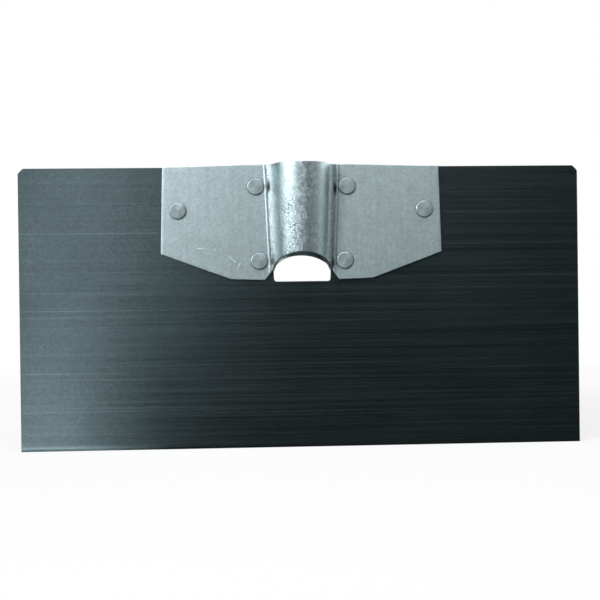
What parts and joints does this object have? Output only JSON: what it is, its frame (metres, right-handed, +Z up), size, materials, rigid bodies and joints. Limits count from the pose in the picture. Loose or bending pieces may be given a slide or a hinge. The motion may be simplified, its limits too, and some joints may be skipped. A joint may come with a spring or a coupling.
{
  "type": "bull float",
  "caption": "Flat rectangular steel float blade gripped between two riveted sheet halves that form an upright tapered round handle socket.",
  "frame": {"origin": "middle of the blade's thickness and length, at the working edge", "axes": "+X along the blade's length to the right, +Y to the rear, +Z up from the working edge to the handle socket"},
  "size_m": [0.4064, 0.0416, 0.2032],
  "materials": {
    "blued_spring_steel": "dark blue-grey rolled spring steel with fine streaks along its length",
    "galvanised_sheet": "dull zinc coating with a fine mottle, scuffed where it was pressed",
    "rivet_steel": "zinc-plated, with faint rays where the head was struck"
  },
  "bodies": {
    "root": {"blade": "blued_spring_steel", "front_socket_half": "galvanised_sheet", "rear_socket_half": "galvanised_sheet", "rivet_upper_left": "rivet_steel", "rivet_upper_right": "rivet_steel", "rivet_lower_left": "rivet_steel", "rivet_lower_right": "rivet_steel", "rivet_outer_left": "rivet_steel", "rivet_outer_right": "rivet_steel"}
  },
  "joints": []
}
